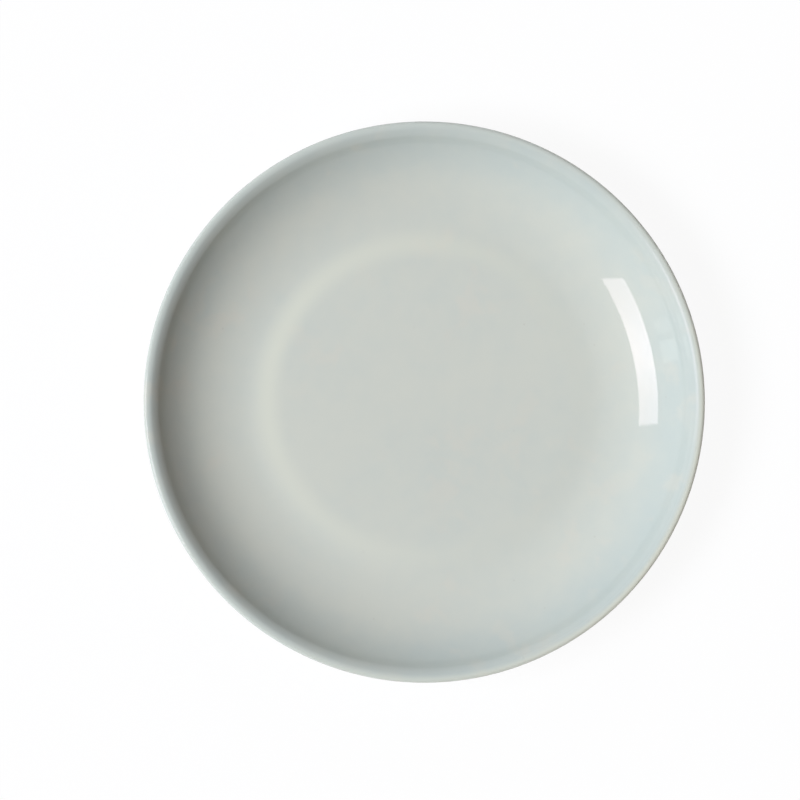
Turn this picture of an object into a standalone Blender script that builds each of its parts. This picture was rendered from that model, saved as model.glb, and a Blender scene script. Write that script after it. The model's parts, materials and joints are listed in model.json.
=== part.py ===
"""A rimless soup plate, in metres, +Z up, standing centred on Z = 0.

Three solids: the fired clay body with its turned foot ring, the coat of glaze that wraps it
from the middle of the well over the lip and down to the foot, and the patch of glaze inside
the foot ring. All three are turned about Z from one outline of the clay.
"""

import math

import bmesh
import bpy
from mathutils import Vector

# Finished plate, glaze included
PLATE_DIAMETER = 0.230
PLATE_HEIGHT = 0.0280
WELL_DIAMETER = 0.140
FLOOR_THICKNESS = 0.0050
LIP_THICKNESS = 0.0033

# The wall: a wide arc out of the flat well, a tighter one that steepens it, and a bend that eases it
# into the lip, with slopes in parts of the straight slope from the well to the plate's edge
RISE_SHARE = 0.50
RISE_TURN = 0.90
LIP_TURN = 1.20
LIP_EASE_RADIUS = 0.0080
LIP_INNER_RADIUS = 0.0039

# Foot ring, whose standing face is bare clay
FOOT_INSET = 0.0060
FOOT_FACE_WIDTH = 0.0038
FOOT_HEIGHT = 0.0030
FOOT_DRAFT = math.radians(14)
FOOT_EDGE_RADIUS = 0.0006
FOOT_FILLET_RADIUS = 0.0014
FOOT_FILLET_LIMIT = 0.9

# Glaze, and how high above the standing face it ends
GLAZE_THICKNESS = 0.0004
GLAZE_CLEARANCE = 0.00005
GLAZE_LINE = 0.0012

# Facets of the turned shapes
TURN_STEPS = 60
RISE_STEPS = 3
WALL_STEPS = 4
EASE_STEPS = 3
LIP_STEPS = 2
FILLET_STEPS = 3
EDGE_STEPS = 2
SHARP_ANGLE = math.radians(40)
MERGE_DISTANCE = 1e-6

# Colours in linear RGB
CLAY_COLOUR = (0.61, 0.55, 0.45)
CLAY_ROUGHNESS = 0.8
GLAZE_COLOUR = (0.584, 0.617, 0.565)
GLAZE_ROUGHNESS = 0.08


def normal(slope):
    """Unit vector square to a surface that rises outwards at a slope, towards the inside."""
    return Vector((-math.sin(slope), math.cos(slope)))


# Places on the outline, as (radius, height)
COAT = GLAZE_CLEARANCE + GLAZE_THICKNESS
CLAY_FLOOR = FOOT_HEIGHT + FLOOR_THICKNESS - COAT
CLAY_BASE = FOOT_HEIGHT + COAT
FOOT_RADIUS = WELL_DIAMETER / 2 - FOOT_INSET - FOOT_FACE_WIDTH / 2
WELL_EDGE = Vector((WELL_DIAMETER / 2, FOOT_HEIGHT + FLOOR_THICKNESS / 2))
PLATE_EDGE = Vector((PLATE_DIAMETER / 2, PLATE_HEIGHT))
SPAN = PLATE_EDGE - WELL_EDGE
SPAN_SLOPE = math.atan2(SPAN.y, SPAN.x)
RISE_SLOPE = RISE_TURN * SPAN_SLOPE
LIP_SLOPE = LIP_TURN * SPAN_SLOPE

# The lip: a wide round on its inside and a tight one on its outside, which meet at its top
LIP_BEND = math.cos(LIP_SLOPE)
LIP_OUTER_RADIUS = (LIP_THICKNESS - LIP_INNER_RADIUS * (1 - LIP_BEND)) / (1 + LIP_BEND)
LIP_OUTER_CENTRE = PLATE_EDGE - Vector((1, 1)) * LIP_OUTER_RADIUS
LIP_INNER_CENTRE = Vector((LIP_OUTER_CENTRE.x, PLATE_HEIGHT - LIP_INNER_RADIUS))
LIP_ROOT = LIP_INNER_CENTRE + (LIP_INNER_RADIUS - LIP_THICKNESS / 2) * normal(LIP_SLOPE)

# The middle of the wall: the rise leaves the well level and takes a share of the wall's width
RISE_RADIUS = RISE_SHARE * SPAN.x / math.sin(RISE_SLOPE)
RISE_CENTRE = WELL_EDGE + Vector((0, RISE_RADIUS))
RISE_END = RISE_CENTRE - RISE_RADIUS * normal(RISE_SLOPE)

# The arc above it leaves the rise smoothly and touches the circle of the bend
EASE_RADIUS = LIP_EASE_RADIUS + LIP_THICKNESS / 2
EASE_CENTRE = LIP_ROOT - EASE_RADIUS * normal(LIP_SLOPE)
REACH = EASE_CENTRE - RISE_END
REACH_HEIGHT = REACH.dot(normal(RISE_SLOPE))
WALL_RADIUS = (REACH.length_squared - EASE_RADIUS ** 2) / (2 * (REACH_HEIGHT + EASE_RADIUS))
WALL_CENTRE = RISE_END + WALL_RADIUS * normal(RISE_SLOPE)
WALL_SLOPE = math.atan2(EASE_CENTRE.x - WALL_CENTRE.x, WALL_CENTRE.y - EASE_CENTRE.y)


def spread(start, end, steps):
    """Even steps from one angle to another, both included."""
    return [start + (end - start) * step / steps for step in range(steps + 1)]


def arc(centre, radius, start, end, steps):
    """Points along an arc, both ends included, with angles turned from outwards to upwards."""
    angles = spread(start, end, steps)
    return [centre + radius * Vector((math.cos(angle), math.sin(angle))) for angle in angles]


def wall_thickness(slope):
    """Thickness of the wall, which thins from the floor's to the lip's as it steepens."""
    return FLOOR_THICKNESS + (LIP_THICKNESS - FLOOR_THICKNESS) * slope / WALL_SLOPE


def wall_stations():
    """Points, slopes and thicknesses along the middle of the wall, from the well to the lip."""
    stations = []
    for slope in spread(0, RISE_SLOPE, RISE_STEPS):
        stations.append((RISE_CENTRE - RISE_RADIUS * normal(slope), slope, wall_thickness(slope)))
    for slope in spread(RISE_SLOPE, WALL_SLOPE, WALL_STEPS)[1:]:
        stations.append((WALL_CENTRE - WALL_RADIUS * normal(slope), slope, wall_thickness(slope)))
    for slope in spread(WALL_SLOPE, LIP_SLOPE, EASE_STEPS)[1:]:
        stations.append((EASE_CENTRE + EASE_RADIUS * normal(slope), slope, LIP_THICKNESS))
    return stations


def wall_side(side):
    """Clay surface of the wall from the well to the lip: its inside (1) or its outside (-1)."""
    return [
        middle + normal(slope) * side * (thickness / 2 - COAT)
        for middle, slope, thickness in wall_stations()
    ]


def lip_round():
    """Clay points over the lip, with its top and its outermost point, between the wall's two sides."""
    top = math.pi / 2
    inner = arc(LIP_INNER_CENTRE, LIP_INNER_RADIUS - COAT, LIP_SLOPE + top, top, LIP_STEPS)
    outer = arc(LIP_OUTER_CENTRE, LIP_OUTER_RADIUS - COAT, top, 0, 2 * LIP_STEPS)
    under = arc(LIP_OUTER_CENTRE, LIP_OUTER_RADIUS - COAT, 0, LIP_SLOPE - top, LIP_STEPS)
    return inner[1:] + outer[1:] + under[1:]


def foot_side(side):
    """Clay points down the foot ring's outside (1) or inside (-1), as a glazed and a bare stretch."""
    down = -math.pi / 2
    edge_centre = Vector((FOOT_FACE_WIDTH / 2, FOOT_EDGE_RADIUS))
    edge = arc(edge_centre, FOOT_EDGE_RADIUS, -FOOT_DRAFT, down, EDGE_STEPS)
    glaze_end = edge[0] + Vector((math.tan(FOOT_DRAFT), 1)) * (GLAZE_LINE - edge[0].y)
    # The fillet touches the underside above it and the drafted flank beside it, within its height
    fillet = min(FOOT_FILLET_RADIUS, FOOT_FILLET_LIMIT * (CLAY_BASE - GLAZE_LINE))
    drop = CLAY_BASE - fillet
    reach = (fillet + (drop - glaze_end.y) * math.sin(FOOT_DRAFT)) / math.cos(FOOT_DRAFT)
    fillet_centre = Vector((glaze_end.x + reach, drop))
    glazed = arc(fillet_centre, fillet, math.pi / 2, math.pi - FOOT_DRAFT, FILLET_STEPS) + [glaze_end]
    return [[Vector((FOOT_RADIUS + side * x, y)) for x, y in stretch] for stretch in (glazed, edge)]


def parallel(line, distance):
    """The line moved to its left by a distance, square to each stretch, with mitred corners."""
    normals = [(end - start).normalized().orthogonal() for start, end in zip(line, line[1:])]
    before = normals[:1] + normals
    after = normals + normals[-1:]
    return [
        point + (first + second) * distance / (1 + first.dot(second))
        for point, first, second in zip(line, before, after)
    ]


def glaze_skin(line, side):
    """Outline of a skin of glaze on a line that leaves the axis: on its left (1) or its right (-1)."""
    return parallel(line, side * COAT) + parallel(line, side * GLAZE_CLEARANCE)[::-1]


def turned(name, outline, material, parent):
    """A closed solid turned about Z from an outline whose two ends lie on the axis."""
    shape = bmesh.new()
    points = [shape.verts.new((radius, 0, height)) for radius, height in outline]
    edges = [shape.edges.new(pair) for pair in zip(points, points[1:])]
    bmesh.ops.spin(
        shape,
        geom=points + edges,
        cent=(0, 0, 0),
        axis=(0, 0, 1),
        angle=2 * math.pi,
        steps=TURN_STEPS,
        use_merge=True,
    )
    bmesh.ops.remove_doubles(shape, verts=shape.verts, dist=MERGE_DISTANCE)
    bmesh.ops.recalc_face_normals(shape, faces=shape.faces)
    mesh = bpy.data.meshes.new(name)
    shape.to_mesh(mesh)
    shape.free()
    mesh.shade_smooth()
    mesh.set_sharp_from_angle(angle=SHARP_ANGLE)
    mesh.materials.append(material)
    solid = bpy.data.objects.new(name, mesh)
    solid.parent = parent
    bpy.context.collection.objects.link(solid)


def finish(name, colour, roughness):
    """A plain opaque material."""
    material = bpy.data.materials.new(name)
    material.use_nodes = True
    shader = material.node_tree.nodes["Principled BSDF"]
    shader.inputs["Base Color"].default_value = (*colour, 1)
    shader.inputs["Roughness"].default_value = roughness
    shader.inputs["Metallic"].default_value = 0
    return material


for leftover in list(bpy.data.objects):
    bpy.data.objects.remove(leftover, do_unlink=True)

plate = bpy.data.objects.new("soup_plate", None)
bpy.context.collection.objects.link(plate)

outer_glazed, outer_bare = foot_side(1)
inner_glazed, inner_bare = foot_side(-1)
coat_line = [Vector((0, CLAY_FLOOR))] + wall_side(1) + lip_round() + wall_side(-1)[::-1] + outer_glazed
foot_line = outer_bare + inner_bare[::-1]
base_line = [Vector((0, CLAY_BASE))] + inner_glazed

clay = finish("bare_clay", CLAY_COLOUR, CLAY_ROUGHNESS)
glaze = finish("grey_green_glaze", GLAZE_COLOUR, GLAZE_ROUGHNESS)
base_glaze = finish("base_glaze", GLAZE_COLOUR, GLAZE_ROUGHNESS)

turned("ceramic_body", coat_line + foot_line + base_line[::-1], clay, plate)
turned("glaze_coat", glaze_skin(coat_line, 1), glaze, plate)
turned("foot_well_glaze", glaze_skin(base_line, -1), base_glaze, plate)
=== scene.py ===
# %% [markdown]
# # A rimless soup plate, finished
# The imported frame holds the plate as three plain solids: the fired clay, the coat of glaze over it
# and the patch of glaze inside its foot ring. This lesson loads them and turns three finer pieces
# in their place, with the small unevenness and the colours that the wheel and the kiln leave.

# %% Load the frame
import json
import math

import bpy
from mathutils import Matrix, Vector


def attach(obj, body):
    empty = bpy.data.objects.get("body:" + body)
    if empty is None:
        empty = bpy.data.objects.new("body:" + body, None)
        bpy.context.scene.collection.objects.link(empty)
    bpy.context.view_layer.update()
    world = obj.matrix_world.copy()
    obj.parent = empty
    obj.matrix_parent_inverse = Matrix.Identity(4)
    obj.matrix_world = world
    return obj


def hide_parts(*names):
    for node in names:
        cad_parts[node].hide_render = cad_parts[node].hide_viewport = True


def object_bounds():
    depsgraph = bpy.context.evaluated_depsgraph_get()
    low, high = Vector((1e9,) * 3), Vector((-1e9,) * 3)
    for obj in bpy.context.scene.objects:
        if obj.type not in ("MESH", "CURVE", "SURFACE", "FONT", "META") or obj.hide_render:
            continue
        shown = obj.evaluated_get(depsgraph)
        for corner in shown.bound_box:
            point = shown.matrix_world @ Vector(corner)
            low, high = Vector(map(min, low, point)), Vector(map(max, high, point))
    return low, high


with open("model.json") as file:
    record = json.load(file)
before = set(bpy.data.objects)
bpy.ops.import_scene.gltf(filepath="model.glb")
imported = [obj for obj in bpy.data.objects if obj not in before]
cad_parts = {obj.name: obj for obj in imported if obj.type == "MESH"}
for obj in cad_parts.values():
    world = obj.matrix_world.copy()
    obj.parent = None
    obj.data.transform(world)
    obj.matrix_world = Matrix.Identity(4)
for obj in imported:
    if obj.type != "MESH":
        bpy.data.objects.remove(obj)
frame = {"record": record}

cad_low, cad_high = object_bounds()
print("CAD box in mm:", [round(1000 * side, 2) for side in cad_high - cad_low])

# %% [markdown]
# ## Shader sums
# Every finish below is a sum of distances, noises and bands. The nodes could be wired one by one,
# but the sums would be hard to see in them. One small class wraps an output of a shader network
# instead, so that they read like arithmetic. Its `node` method adds any other node.


# %% A shader output that behaves like a number
class Channel:
    """One output of a shader network."""

    def __init__(self, output):
        self.output = output

    def node(self, kind, settings, sockets, result=0):
        """Adds a node: its settings first, then a value or a link for each socket named."""
        tree = self.output.id_data
        node = tree.nodes.new(kind)
        for name, value in settings.items():
            setattr(node, name, value)
        for socket, value in sockets.items():
            if isinstance(value, Channel):
                tree.links.new(value.output, node.inputs[socket])
            else:
                node.inputs[socket].default_value = value
        return Channel(node.outputs[result])

    def math(self, operation, *values):
        """A Math node over these values, in order."""
        return self.node("ShaderNodeMath", {"operation": operation}, dict(enumerate(values)))

    def __add__(self, other):
        return self.math("ADD", self, other)

    __radd__ = __add__

    def __sub__(self, other):
        return self.math("SUBTRACT", self, other)

    def __rsub__(self, other):
        return self.math("SUBTRACT", other, self)

    def __mul__(self, other):
        return self.math("MULTIPLY", self, other)

    __rmul__ = __mul__

    def __truediv__(self, other):
        return self.math("DIVIDE", self, other)

    def __abs__(self):
        return self.math("ABSOLUTE", self)

    def ramp(self, start, end):
        """Rises smoothly from 0 at one value to 1 at another."""
        ends = {"Value": self, "From Min": start, "From Max": end}
        return self.node("ShaderNodeMapRange", {"interpolation_type": "SMOOTHSTEP"}, ends)

    def band(self, centre, spread):
        """1 at a value, fading smoothly to 0 at a distance from it."""
        return abs(self - centre).ramp(spread, 0)

    def blend(self, first, second):
        """The first colour, turned into the second by this much."""
        return self.node("ShaderNodeMix", {"data_type": "RGBA"}, {0: self, 6: first, 7: second}, 2)

    def noise(self, scale, detail):
        """Soft noise about 0, at most 0.5 either way, on this place."""
        sockets = {"Vector": self, "Scale": scale, "Detail": detail}
        return self.node("ShaderNodeTexNoise", {}, sockets) - 0.5


# %% [markdown]
# ## The view
# The plate was photographed from straight above. Its outline is very nearly a circle of 281 pixels
# about a point a little right of and below the middle of a square picture of 800 pixels, so a level
# camera, set off from the plate's axis by that much, gives the same frame. An orthographic camera
# would do as well, but a real lens hangs at some height. This one hangs high enough to keep the
# wall's perspective small.

# %% Camera over the plate
plate_radius = round(cad_high.x, 4)
plate_height = round(cad_high.z, 4)
picture_pixels = 800
plate_radius_pixels = 281.0
plate_centre_pixels = Vector((424.3, 402.1))
camera_clearance = 1.3
pixel = plate_radius / plate_radius_pixels
aim = (Vector((1, 1)) * picture_pixels / 2 - plate_centre_pixels) * pixel

camera = bpy.data.objects.new("overhead_camera", bpy.data.cameras.new("overhead_camera"))
bpy.context.collection.objects.link(camera)
camera.location = (aim.x, -aim.y, plate_height + camera_clearance)
camera.data.lens = camera.data.sensor_width * camera_clearance / (picture_pixels * pixel)
bpy.context.scene.camera = camera
bpy.context.scene.view_settings.view_transform = "Standard"
print("camera lens in mm:", round(camera.data.lens, 1))

# %% [markdown]
# ## The room
# The only hard light is one window on the left: it throws the bar on the right-hand wall. The
# mirror law run backwards from the bar's edges gives the window's place and its nearly upright
# pane. Broad soft boxes stand in for the pale walls around it, and they light the plate without a
# reflection of their own. One picture of a room could do all this at once, but single lamps can be
# placed by measuring. The room itself stays dim, and only what the camera or a reflection sees of
# it is white, as in a cut-out product picture.

# %% World
white = (1, 1, 1, 1)
room_colour = (0.078, 0.025, 0.004, 1)


def new_nodes(owner):
    """The nodes of a new material, lamp or world."""
    owner.use_nodes = True
    return owner.node_tree.nodes


def seen_white(nodes):
    """1 for rays from the camera, mirrors and glass, and 0 for the rays that light things."""
    path = nodes.new("ShaderNodeLightPath").outputs
    camera_ray = Channel(path["Is Camera Ray"])
    glossy_ray = Channel(path["Is Glossy Ray"])
    clear_ray = Channel(path["Is Transmission Ray"])
    return camera_ray.math("MAXIMUM", camera_ray, glossy_ray.math("MAXIMUM", glossy_ray, clear_ray))


world = bpy.data.worlds.new("dim_room")
bpy.context.scene.world = world
world_nodes = new_nodes(world)
backdrop = seen_white(world_nodes).blend(room_colour, white)
world.node_tree.links.new(backdrop.output, world_nodes["Background"].inputs["Color"])
print("nodes in the world:", len(world_nodes))

# %% Window and walls
lamp_distance = 9
window_roll = math.radians(-2)


def direction(azimuth, elevation):
    """Unit vector towards a compass angle from +X and a height angle, in degrees."""
    turn, rise = math.radians(azimuth), math.radians(elevation)
    level = math.cos(rise)
    return Vector((math.cos(turn) * level, math.sin(turn) * level, math.sin(rise)))


def soft_box(name, place, size, radiance, tint, facing=None):
    """A rectangular lamp: angles of its place, size in lamp distances, brightness, colour, facing."""
    data = bpy.data.lights.new(name, "AREA")
    data.shape = "RECTANGLE"
    data.size = size[0] * lamp_distance
    data.size_y = size[1] * lamp_distance
    data.energy = math.pi * radiance * data.size * data.size_y
    data.color = tint
    lamp = bpy.data.objects.new(name, data)
    bpy.context.collection.objects.link(lamp)
    lamp.location = direction(*place) * lamp_distance
    azimuth, elevation = facing or place
    lamp.rotation_euler = (math.radians(90 - elevation), 0, math.radians(azimuth + 90))
    print(name, "in W:", round(data.energy))
    return lamp


window = soft_box("window", (193.8, 46.8), (0.491, 0.440), 6.95, (1.1, 0.93, 1.03), facing=(195.7, 9.4))
window.rotation_euler.rotate_axis("Z", window_roll)
curtain = soft_box("curtain", (190, 51.2), (0.56, 0.37), 12.75, (0.85, 1.0, 1.08))
back_wall = soft_box("back_wall", (90, 25), (0.56, 0.30), 2.9, (0.93, 1.0, 1.11))
front_wall = soft_box("front_wall", (270, 25), (0.56, 0.30), 0.86, (0.93, 1.0, 0.90))

# %% [markdown]
# Two smaller things show on the right. The outer edge of the lip is lit from low down, as by a pale
# card on the table, and two faint squares stand between the bar and the lip: dim panes below the
# window. The bigger lamps could be reshaped to do this, but lamps of their own are easier to place.
# Ray visibility keeps the card and the walls out of reflections, and lets the panes show only there.

# %% Low card and dim panes
low_card = soft_box("low_card", (5, 0.2), (0.60, 0.007), 119, (0.93, 1.0, 1.03))
near_pane = soft_box("near_pane", (192, 14), (0.086, 0.37), 1.4, (1.02, 1.0, 0.9))
far_pane = soft_box("far_pane", (198, 14), (0.056, 0.37), 0.9, (1.02, 1.0, 0.9))
for unseen in (curtain, back_wall, front_wall, low_card):
    unseen.visible_glossy = False
for only_seen in (near_pane, far_pane):
    only_seen.visible_diffuse = False

# %% [markdown]
# The bar is brightest in its middle and fades a little towards both ends. A second lamp could add
# that, but its edges would show, so the window's own strength changes along it: a lamp's Parametric
# coordinate runs from 0 to 1 across it.

# %% The window's brighter middle
end_glare = 0.82
middle_glare = 0.4
glare_spread = 0.42
pane_middle = 0.5

pane_nodes = new_nodes(window.data)
pane = Channel(pane_nodes.new("ShaderNodeNewGeometry").outputs["Parametric"])
along_pane = pane.node("ShaderNodeSeparateXYZ", {}, {0: pane}, "X")
glare = end_glare + along_pane.band(pane_middle, glare_spread) * middle_glare
window.data.node_tree.links.new(glare.output, pane_nodes["Emission"].inputs["Strength"])
print("nodes in the window:", len(pane_nodes))

# %% [markdown]
# ## The table
# The cut-out has no table, but a plate that throws no shadow would seem to float. The floor below
# is white where the camera looks and plain matte paper to the light, and a small share of the
# paper shows through, enough for a faint shadow. A shadow catcher would need a compositor to put
# white behind it. The floor lies a hair below the foot ring, so that the two faces never meet.

# %% Floor
floor_size = 12
floor_gap = 0.0001
paper_share = 0.07
paper_colour = (0.95, 0.95, 0.95, 1)

bpy.ops.object.select_all(action="DESELECT")
bpy.ops.mesh.primitive_plane_add(size=floor_size, location=(0, 0, -floor_gap))
floor = bpy.context.object
floor.name = "paper_floor"
paper = bpy.data.materials.new("white_paper")
paper_nodes = new_nodes(paper)
matte = paper_nodes["Principled BSDF"]
matte.inputs["Base Color"].default_value = paper_colour
matte.inputs["Roughness"].default_value = 1
matte.inputs["Specular IOR Level"].default_value = 0
glow_share = seen_white(paper_nodes) * (1 - paper_share)
glow = glow_share.node("ShaderNodeEmission", {}, {"Color": white, "Strength": 1})
surfaces = {0: glow_share, 1: Channel(matte.outputs["BSDF"]), 2: glow}
sheet = glow.node("ShaderNodeMixShader", {}, surfaces)
paper.node_tree.links.new(sheet.output, paper_nodes["Material Output"].inputs["Surface"])
floor.data.materials.append(paper)
print("floor in m:", floor_size)

# %% [markdown]
# ## The outline
# A plate like this is jiggered: a template cut to half its section shapes the clay on a turning
# mould, so one outline gives every piece. It could be drawn as a free curve, but arcs keep it as
# smooth as a template and hold its sizes in sight. The frame gives the radius, the height and the
# floor. The wall's middle line is a wide arc that leaves the well level, then a tighter one that
# steepens it, and a bend that eases it outwards into the lip, which is rounded wide inside and
# tight outside. The shading in the photograph gives their slopes. The clay lies a coat of glaze
# below all that.

# %% Places on the outline, as radius and height
mounts = {mount["name"]: Vector(mount["pos_m"]) for mount in frame["record"]["mounts"]}
floor_height = mounts["well_floor"].z
floor_thickness = 0.0050
lip_thickness = 0.0033
lip_slope = math.radians(31.9)
lip_inside = 0.0039
well_radius = 0.070
rise_radius = 0.0555
rise_slope = math.radians(23.9)
bend_radius = 0.00965
glaze_thickness = 0.0004
glaze_clearance = 0.00005


def inward(slope):
    """Unit vector square to a surface that rises outwards at a slope, towards the bowl."""
    return Vector((-math.sin(slope), math.cos(slope)))


coat = glaze_thickness + glaze_clearance
base_height = floor_height - floor_thickness
well_edge = Vector((well_radius, floor_height - floor_thickness / 2))
lip_outside = (lip_thickness - lip_inside * (1 - math.cos(lip_slope))) / (1 + math.cos(lip_slope))
outside_centre = Vector((plate_radius, plate_height)) - Vector((1, 1)) * lip_outside
inside_centre = Vector((outside_centre.x, plate_height - lip_inside))
lip_root = inside_centre + (lip_inside - lip_thickness / 2) * inward(lip_slope)
bend_centre = lip_root - bend_radius * inward(lip_slope)
rise_end = well_edge + rise_radius * (Vector((0, 1)) - inward(rise_slope))
reach = bend_centre - rise_end
reach_height = reach.dot(inward(rise_slope))
wall_radius = (reach.length_squared - bend_radius ** 2) / (2 * (reach_height + bend_radius))
wall_centre = rise_end + wall_radius * inward(rise_slope)
wall_slope = math.atan2(bend_centre.x - wall_centre.x, wall_centre.y - bend_centre.y)
print("wall arc in mm:", round(1000 * wall_radius, 1))
print("steepest slope in degrees:", round(math.degrees(wall_slope), 1))

# %% [markdown]
# The inside of the real plate isn't quite the template's curve. Where the well turns into the wall,
# a pale ring catches the light on the left and darkens a little on the right, so the well falls
# slightly outwards there: a shallow gutter, a fraction of a millimetre deep. A bump in the material
# could fake it, but lowering the points themselves keeps it true in every view.

# %% Lines up the wall and over the lip
flat_radii = (0.008, 0.020, 0.034, 0.046, 0.055)
verge_steps = 10
wall_steps = 30
bend_steps = 8
inside_steps = 8
outside_steps = 14
gutter_depth = 0.00018
gutter_inside = 0.010
gutter_outside = 0.012


def shares(steps):
    """Even steps from 0 to 1, both included."""
    return [step / steps for step in range(steps + 1)]


def gutter(point):
    """The point lowered by the gutter at its radius."""
    width = gutter_inside if point.x < well_radius else gutter_outside
    share = max(0, 1 - abs(point.x - well_radius) / width)
    return point - Vector((0, gutter_depth * share * share * (3 - 2 * share)))


def wall(side, skin):
    """Points up the wall's inside (1) or outside (-1), this far out from the clay."""
    points = []
    for share in shares(wall_steps):
        slope = wall_slope * share
        middle = wall_centre - wall_radius * inward(slope)
        if slope < rise_slope:
            middle = well_edge + rise_radius * (Vector((0, 1)) - inward(slope))
        thickness = floor_thickness + (lip_thickness - floor_thickness) * share
        points.append(middle + inward(slope) * side * (thickness / 2 - coat + skin))
    for share in shares(bend_steps)[1:]:
        slope = wall_slope + (lip_slope - wall_slope) * share
        middle = bend_centre + bend_radius * inward(slope)
        points.append(middle + inward(slope) * side * (lip_thickness / 2 - coat + skin))
    return points


def arc(centre, radius, start, end, steps):
    """Points along an arc, with angles turned from outwards to upwards."""
    angles = [start + (end - start) * share for share in shares(steps)]
    return [centre + radius * Vector((math.cos(angle), math.sin(angle))) for angle in angles]


def bowl(skin):
    """Points from the middle of the well over the lip and down the outside to the base."""
    height = floor_height - coat + skin
    verge_radii = [well_radius - gutter_inside * share for share in shares(verge_steps)[:0:-1]]
    well = [Vector((radius, height)) for radius in (*flat_radii, *verge_radii)]
    inside = [gutter(point) for point in well + wall(1, skin)]
    top = math.pi / 2
    round_inside = arc(inside_centre, lip_inside - coat + skin, lip_slope + top, top, inside_steps)
    round_outside = arc(outside_centre, lip_outside - coat + skin, top, lip_slope - top, outside_steps)
    return inside + round_inside[1:] + round_outside[1:] + wall(-1, skin)[::-1]


print("rings in the bowl:", len(bowl(coat)))

# %% [markdown]
# The foot ring is turned from the leather-hard clay: drafted flanks, a fillet up to the underside
# and small rounded edges beside the standing face. Glaze is sponged off its lower part, or the
# plate would stick to the kiln shelf. Bevels could round these edges later, but as arcs in the
# outline they are the same for the clay and for the glaze on it.

# %% Lines down the foot ring
base_radii = (0.008, 0.024, 0.040, 0.052)
foot_radius = 0.0621
foot_face = 0.0038
foot_draft = math.radians(14)
foot_edge = 0.0006
foot_fillet = 0.0014
glaze_line = 0.0012
fillet_steps = 8
edge_steps = 5

edge_centre = Vector((foot_face / 2, foot_edge))
bare_edge = arc(edge_centre, foot_edge, -foot_draft, -math.pi / 2, edge_steps)
flank = Vector((math.cos(foot_draft), -math.sin(foot_draft)))
glaze_end = bare_edge[0] + Vector((math.tan(foot_draft), 1)) * (glaze_line - bare_edge[0].y)
fillet_rise = base_height + coat - foot_fillet - glaze_line
fillet_reach = (foot_fillet + fillet_rise * math.sin(foot_draft)) / math.cos(foot_draft)
fillet_centre = glaze_end + Vector((fillet_reach, fillet_rise))


def around_foot(side, points):
    """Points set out from the middle of the foot ring, to its outside (1) or its inside (-1)."""
    return [Vector((foot_radius + side * point.x, point.y)) for point in points]


def glazed_foot(side, skin):
    """Points from the base down the fillet to the glaze line, this far out from the clay."""
    fillet = arc(fillet_centre, foot_fillet - skin, math.pi / 2, math.pi - foot_draft, fillet_steps)
    return around_foot(side, fillet + [glaze_end + flank * skin])


def base(skin):
    """Points from the middle of the base out to the fillet inside the foot ring."""
    return [Vector((radius, base_height + coat - skin)) for radius in base_radii]


print("foot ring in mm:", [round(1000 * point.x, 2) for point in around_foot(1, bare_edge)])

# %% [markdown]
# ## Turning
# Each piece starts as a disc in the middle and grows ring by ring, as clay is pulled outwards on
# the wheel: the rim edges are extruded to the next height and scaled to the next radius. Spin or a
# Screw modifier would turn the whole outline at once, but would leave a seam to merge. A ring has
# none.

# %% Pull a sheet along a line
turn_steps = 240
crease_angle = math.radians(40)


def turned(name, line):
    """A disc at the line's start and a ring for each later point; the last ring stays selected."""
    bpy.ops.object.select_all(action="DESELECT")
    bpy.ops.mesh.primitive_circle_add(
        vertices=turn_steps, radius=line[0].x, fill_type="TRIFAN", location=(0, 0, line[0].y)
    )
    piece = bpy.context.object
    piece.name = name
    bpy.ops.object.transform_apply(location=True, rotation=False, scale=False)
    bpy.ops.object.mode_set(mode="EDIT")
    bpy.ops.mesh.select_mode(type="EDGE")
    bpy.ops.mesh.select_all(action="DESELECT")
    bpy.ops.mesh.select_non_manifold()
    for before, after in zip(line, line[1:]):
        rise = (0, 0, after.y - before.y)
        bpy.ops.mesh.extrude_edges_move(TRANSFORM_OT_translate={"value": rise})
        growth = after.x / before.x
        bpy.ops.transform.resize(value=(growth, growth, 1), center_override=(0, 0, after.y))
    return piece


def settle(piece, node):
    """Smooths a piece and puts it in the place of a CAD node."""
    bpy.ops.object.mode_set(mode="OBJECT")
    bpy.ops.object.shade_smooth_by_angle(angle=crease_angle)
    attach(piece, "root")
    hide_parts(node)
    print(piece.name, "faces:", len(piece.data.polygons))


# %% [markdown]
# ## The clay
# The body is one solid of clay from the well round to the base, almost all of it under glaze. It
# could be left open where glaze hides it, but the clay in the frame is a closed solid, and so is
# this one. Its line runs on past the glazed flank, round the bare foot and back to the axis, where
# the last ring closes to a point.

# %% Clay body
foot_line = glazed_foot(1, 0) + around_foot(1, bare_edge) + around_foot(-1, bare_edge[::-1])
clay_line = bowl(0) + foot_line + glazed_foot(-1, 0)[::-1] + base(0)[::-1]
clay_body = turned("clay_body", clay_line)
bpy.ops.mesh.extrude_edges_move()
bpy.ops.mesh.merge(type="CENTER")
settle(clay_body, "ceramic_body")

# %% [markdown]
# ## The glaze
# Glaze is a thin glass skin. It could be a colour on the clay, but then its edge above the foot
# would be painted on. Each coat is turned as a sheet on the finished surface instead, and Solidify
# gives it its thickness towards the clay. Its lower edge melted as it ran, so it wavers by a tenth
# of a millimetre or two and ends in a rounded roll.

# %% Coat over the bowl and patch under the base
run_height = 0.0004
run_length = 0.018
rim_angle = math.radians(60)
roll_radius = 0.00016
roll_segments = 4


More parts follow.
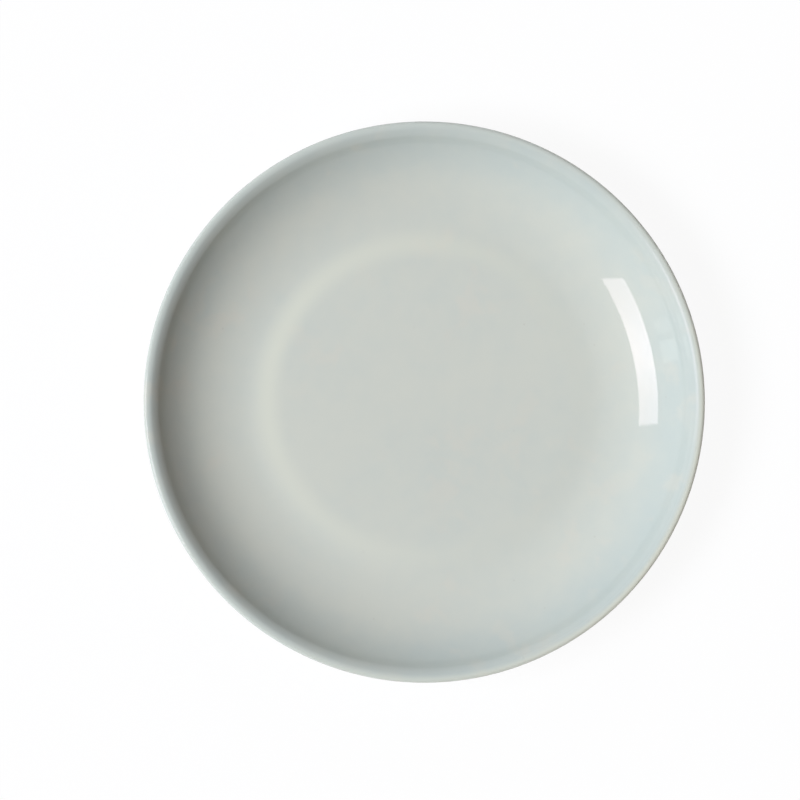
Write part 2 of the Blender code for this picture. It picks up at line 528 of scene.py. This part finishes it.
def glazed(name, line, inside):
    """A skin of glaze on a line, with its thickness on the clay's side and a rolled lower edge."""
    piece = turned(name, line)
    bpy.ops.object.vertex_group_add()
    bpy.ops.object.vertex_group_assign()
    if inside:
        bpy.ops.mesh.select_all(action="SELECT")
        bpy.ops.mesh.flip_normals()
    bpy.ops.object.mode_set(mode="OBJECT")
    runs = piece.modifiers.new("runs", "DISPLACE")
    runs.texture = bpy.data.textures.new(name + "_runs", "CLOUDS")
    runs.texture.noise_scale = run_length
    runs.direction = "Z"
    runs.strength = run_height
    runs.vertex_group = piece.vertex_groups[0].name
    skin = piece.modifiers.new("skin", "SOLIDIFY")
    skin.thickness = glaze_thickness
    skin.offset = -1
    skin.use_even_offset = True
    for modifier in (runs.name, skin.name):
        bpy.ops.object.modifier_apply(modifier=modifier)
    bpy.ops.object.mode_set(mode="EDIT")
    bpy.ops.mesh.select_all(action="DESELECT")
    bpy.ops.mesh.edges_select_sharp(sharpness=rim_angle)
    bpy.ops.mesh.bevel(offset=roll_radius, segments=roll_segments, affect="EDGES")
    return piece


main_glaze = glazed("main_glaze", bowl(coat) + glazed_foot(1, coat), False)
settle(main_glaze, "glaze_coat")
under_glaze = glazed("under_glaze", base(coat) + glazed_foot(-1, coat), True)
settle(under_glaze, "foot_well_glaze")

# %% [markdown]
# ## The glaze's colour
# The glaze is a pale grey-green, even to the eye, with faint clouds where it lies thicker or
# thinner. It pales and warms where it drew thinner, because the clay shows through, and it deepens
# where it gathered; part of that paleness and deepening is painted light and painted shade. A
# painted picture could hold all that, but would need unwrapping and would blur up close, so noises
# and bands give it instead. Each finish starts from the place on the piece, its distance from the
# axis and its height.

# %% Places and specks
speck_softness = 0.01


def new_finish(name, piece):
    """A new material on a piece, with its shader and its places, radii and heights."""
    material = bpy.data.materials.new(name)
    piece.data.materials.append(material)
    nodes = new_nodes(material)
    place = Channel(nodes.new("ShaderNodeTexCoord").outputs["Object"])
    flat = place.node("ShaderNodeVectorMath", {"operation": "MULTIPLY"}, {0: place, 1: (1, 1, 0)})
    radius = flat.node("ShaderNodeVectorMath", {"operation": "LENGTH"}, {0: flat}, "Value")
    height = place.node("ShaderNodeSeparateXYZ", {}, {0: place}, "Z")
    return nodes["Principled BSDF"], place, radius, height


def specks(place, scale, share, size):
    """Round specks: one in a share of the cells of this scale, of this size in cells."""
    cells = {"Vector": place, "Scale": scale}
    distance = place.node("ShaderNodeTexVoronoi", {}, cells, "Distance")
    colour = place.node("ShaderNodeTexVoronoi", {}, cells, "Color")
    chosen = colour.node("ShaderNodeSeparateColor", {}, {0: colour})
    return distance.ramp(size, size / 2) * chosen.ramp(1 - share, 1 - share + speck_softness)


def link(shader, socket, channel):
    """Feeds a channel into a socket of a shader."""
    shader.id_data.links.new(channel.output, shader.inputs[socket])


def emboss(shader, relief):
    """Gives a shader's surface this height, in metres."""
    link(shader, "Normal", relief.node("ShaderNodeBump", {}, {"Height": relief, "Distance": 1.0}))


def toward(place, radius, azimuth):
    """1 on the side of the plate that lies at a compass angle, fading to 0 across from it."""
    sockets = {0: place, 1: direction(azimuth, 0)}
    along = place.node("ShaderNodeVectorMath", {"operation": "DOT_PRODUCT"}, sockets, "Value")
    return 0.5 + along / radius * 0.5


# %% Glaze finish
glaze_colour = (0.600, 0.622, 0.545, 1)
# Reached where the glaze lies deeper, and also painted shade that darkens and cools the steep wall.
pooled_and_shaded_colour = (0.500, 0.564, 0.530, 1)
# Reached where the glaze drew thinner, and also painted light on the gutter ring's lit side and the
# lip's shaded outer edge.
thin_and_lit_colour = (0.735, 0.745, 0.605, 1)
warm_colour = (0.640, 0.620, 0.530, 1)
speck_colour = (0.42, 0.40, 0.34, 1)
usual_depth = 0.25
cloud_depth = 0.6
mottle_depth = 0.4
fleck_levels = (0.02, 0.18)
drift_levels = (-0.05, 0.15)
flush_strength = 0.35
cloud_thinning = 0.8
mottle_thinning = 0.6
speck_strength = 0.2
glaze_roughness = 0.035
mottle_roughness = 0.02
dry_roughness = 0.28
glaze_gloss = 0.38
fine_peel = 0.000003
broad_peel = 0.00002


def glaze_finish(name, piece, thin_and_lit, pooled_and_shaded, dry):
    """The glaze on a piece, given its thinness and painted light, pooling and painted shade, and
    dryness by place.
    """
    shader, place, radius, height = new_finish(name, piece)
    clouds = place.noise(scale=16, detail=2)
    mottle = place.noise(scale=110, detail=3)
    # Glaze depth from clouds and the foot's roll, plus painted shade up the steep wall.
    depth_and_shade = usual_depth + clouds * cloud_depth + mottle * mottle_depth + pooled_and_shaded(place, radius, height)
    colour = depth_and_shade.ramp(0, 1).blend(glaze_colour, pooled_and_shaded_colour)
    flecks = place.noise(scale=75, detail=4).ramp(*fleck_levels)
    drifts = place.noise(scale=22, detail=1).ramp(*drift_levels)
    colour = (flecks * drifts * flush_strength).blend(colour, warm_colour)
    # Paleness from thinner glaze, plus painted light on the gutter ring and the lip's outer edge.
    bared_and_lit = thin_and_lit(place, radius, height) * (1 + clouds * cloud_thinning + mottle * mottle_thinning)
    colour = bared_and_lit.blend(colour, thin_and_lit_colour)
    dots = specks(place, scale=240, share=0.05, size=0.14)
    colour = (dots * speck_strength).blend(colour, speck_colour)
    link(shader, "Base Color", colour)
    dryness = dry(place, radius, height) * dry_roughness
    link(shader, "Roughness", glaze_roughness + mottle * mottle_roughness + dryness)
    shader.inputs["Specular IOR Level"].default_value = glaze_gloss
    peel = place.noise(scale=230, detail=1) * fine_peel
    emboss(shader, peel + place.noise(scale=26, detail=1) * broad_peel)
    print(name, "nodes:", len(shader.id_data.nodes))


# %% [markdown]
# The coat is thinner over the lip all round, and it gathered in the roll above the foot. A pale ring
# lies over the gutter's shoulder, a little off the plate's centre: partly thinner glaze, partly
# painted light that is strongest on the lit side. The lip's outer edge across from the lit side is
# paler still, which is painted light on the side in shade. There the lip is drier too, which softens
# its glint. The darker, cooler glaze up the steep wall is painted shade.

# %% Finish of the coat over the bowl
# The side the lamps light: painted light on the gutter ring lies towards it, and on the lip across from
# it.
lit_side = 155
ring_side = 105
ring_shift = 0.0024
ring_radius = 0.0636
ring_spread = 0.0082
# The gutter ring's paleness: partly thinner glaze, partly painted light on its lit side.
ring_thin_and_lit = 0.36
inside_heights = (0.005, 0.007)
lip_heights = (plate_height - 0.0040, plate_height - 0.0012)
lip_radii = (plate_radius - 0.0035, plate_radius - 0.0010)
lip_thinness = 0.12
# Painted light: extra paleness on the lip's outer edge across from the lit side, where it is in shade.
far_lip_painted_light = 0.5
dry_heights = (plate_height - 0.0016, plate_height - 0.0006)
roll_height = 0.0032
roll_depth = 0.7
steep_radii = (0.088, 0.107)
# Painted shade: how much darker and cooler the glaze is up the steep wall.
steep_painted_shade = 0.45


def thin_and_lit_lip(place, radius, height):
    """Thinner glaze over the lip all round, and painted light on its outer edge across from the lit
    side.
    """
    away_from_light = 1 - toward(place, radius, lit_side)
    lip = height.ramp(*lip_heights) * radius.ramp(*lip_radii)
    return lip * (lip_thinness + away_from_light * away_from_light * away_from_light * far_lip_painted_light)


def thin_and_lit_coat(place, radius, height):
    """The lip's thinness and painted light, and the gutter's pale ring: thinner glaze and painted light
    on its lit side.
    """
    ring = radius - toward(place, radius, ring_side) * ring_shift
    shoulder = ring.band(ring_radius, ring_spread) * height.ramp(*inside_heights) * ring_thin_and_lit
    return shoulder * toward(place, radius, lit_side) + thin_and_lit_lip(place, radius, height)


def dry_lip(place, radius, height):
    """Dry along the top of the lip, most across from the lit side."""
    return height.ramp(*dry_heights) * (1 - toward(place, radius, lit_side))


def pooled_and_shaded_coat(place, radius, height):
    """Gathered in the roll above the foot, and painted shade, darker and cooler, up the steep wall."""
    return height.ramp(roll_height, glaze_line) * roll_depth + radius.ramp(*steep_radii) * steep_painted_shade


glaze_finish("grey_green_glaze", main_glaze, thin_and_lit_coat, pooled_and_shaded_coat, dry_lip)

# %% [markdown]
# The patch under the base was poured in and swirled. It is deepest in the middle, and thin and dry
# on the fillet beside the foot ring.

# %% Finish of the patch under the base
fillet_drop = 0.0008
fillet_thinness = 0.3
pour_radius = 0.05
pour_depth = 0.5


def thin_patch(place, radius, height):
    """Thin on the fillet beside the foot ring."""
    return height.ramp(base_height, base_height - fillet_drop) * fillet_thinness


def pooled_patch(place, radius, height):
    """Deeper towards the middle of the base, where the glaze was poured in."""
    return radius.ramp(pour_radius, 0) * pour_depth


glaze_finish("base_glaze", under_glaze, thin_patch, pooled_patch, thin_patch)

# %% [markdown]
# ## The clay's colour
# Bare stoneware is buff and matte, with grains of grog in it. The turning tool leaves fine rings,
# the kiln toasts it along the glaze line, and the standing face is rubbed pale and smooth by
# tables. The rings could be modelled, but at this size a bump shows the same. Their noise reads
# only the radius and the height, so it runs round the plate as the tool did.

# %% Clay finish
clay_colour = (0.61, 0.55, 0.45, 1)
toasted_colour = (0.47, 0.33, 0.20, 1)
rubbed_colour = (0.66, 0.62, 0.54, 1)
grog_colour = (0.22, 0.17, 0.12, 1)
usual_tone = 0.5
grain_tone = 0.5
blotch_tone = 0.6
rubbed_height = 0.00025
rubbed_strength = 0.5
toasted_spread = 0.0006
toasted_strength = 0.6
grog_strength = 0.7
clay_roughness = 0.85
rubbed_polish = 0.3
grain_roughness = 0.1
grain_relief = 0.00004
ring_relief = 0.00005

shader, place, radius, height = new_finish("bare_clay", clay_body)
grain = place.noise(scale=700, detail=4)
blotches = place.noise(scale=60, detail=2)
across = radius.node("ShaderNodeCombineXYZ", {}, {"X": radius, "Z": height})
rings = across.noise(scale=2600, detail=2)
tone = usual_tone + grain * grain_tone + blotches * blotch_tone
colour = tone.blend(toasted_colour, clay_colour)
rubbed = height.ramp(rubbed_height, 0) * (rubbed_strength + blotches)
colour = rubbed.blend(colour, rubbed_colour)
toasted = height.band(glaze_line, toasted_spread) * (toasted_strength + blotches)
colour = toasted.blend(colour, toasted_colour)
grog = specks(place, scale=900, share=0.12, size=0.3)
colour = (grog * grog_strength).blend(colour, grog_colour)
link(shader, "Base Color", colour)
link(shader, "Roughness", clay_roughness - rubbed * rubbed_polish + grain * grain_roughness)
emboss(shader, grain * grain_relief + rings * ring_relief)
print("bare_clay nodes:", len(shader.id_data.nodes))
